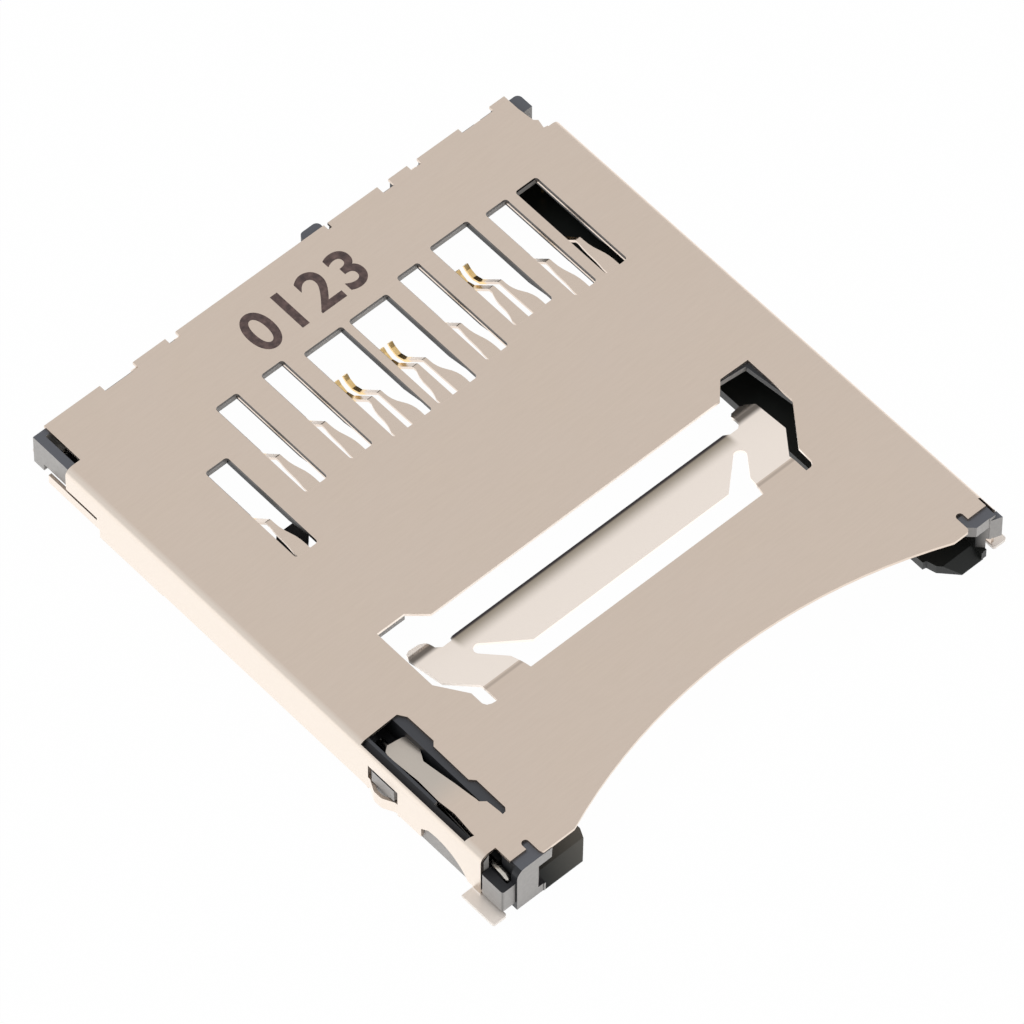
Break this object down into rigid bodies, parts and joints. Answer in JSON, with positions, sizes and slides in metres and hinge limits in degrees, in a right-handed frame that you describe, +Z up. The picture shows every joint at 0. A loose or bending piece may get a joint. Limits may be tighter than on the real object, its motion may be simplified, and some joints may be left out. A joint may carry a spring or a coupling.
{
  "type": "memory card socket",
  "caption": "Low surface-mount socket for a full-size memory card, with a folded metal cover, windows over its spring contacts and a push-push eject slider.",
  "frame": {"origin": "centre of the bounding box's base, on the board plane", "axes": "+X across the socket, +Y from the card mouth to the contact tails, +Z up from the board"},
  "size_m": [0.0284, 0.0306, 0.0028],
  "materials": {
    "shell": "satin",
    "moulding": "matte",
    "slider_moulding": "matte",
    "contact_metal": "satin",
    "steel": "satin"
  },
  "bodies": {
    "socket": {"shell_cover": "shell", "housing": "moulding", "contact_1": "contact_metal", "contact_2": "contact_metal", "contact_3": "contact_metal", "contact_4": "contact_metal", "contact_5": "contact_metal", "contact_6": "contact_metal", "contact_7": "contact_metal", "contact_8": "contact_metal", "contact_9": "contact_metal", "detect_spring": "contact_metal", "detect_terminal": "contact_metal", "protect_spring": "contact_metal", "protect_terminal": "contact_metal", "return_spring": "steel"},
    "slider": {"eject_slider": "slider_moulding", "lock_leaf": "steel"},
    "pin": {"cam_pin": "steel"}
  },
  "joints": [
    {"name": "eject_slide", "type": "slide", "parent": "socket", "child": "slider", "axis": [0, 1, 0], "range_m": [0, 0.0064], "stiffness_N_per_m": 200, "springref_m": -0.003, "deforming": ["return_spring"]},
    {"name": "cam_pin_swing", "type": "hinge", "parent": "socket", "child": "pin", "pos_m": [-0.01298, -0.01461, 0.0018], "axis": [0, 0, 1], "range_deg": [0, 2.1]}
  ],
  "couplings": [
    {"joint": "cam_pin_swing", "follows": "eject_slide", "rad_per_m": 5.6734}
  ]
}
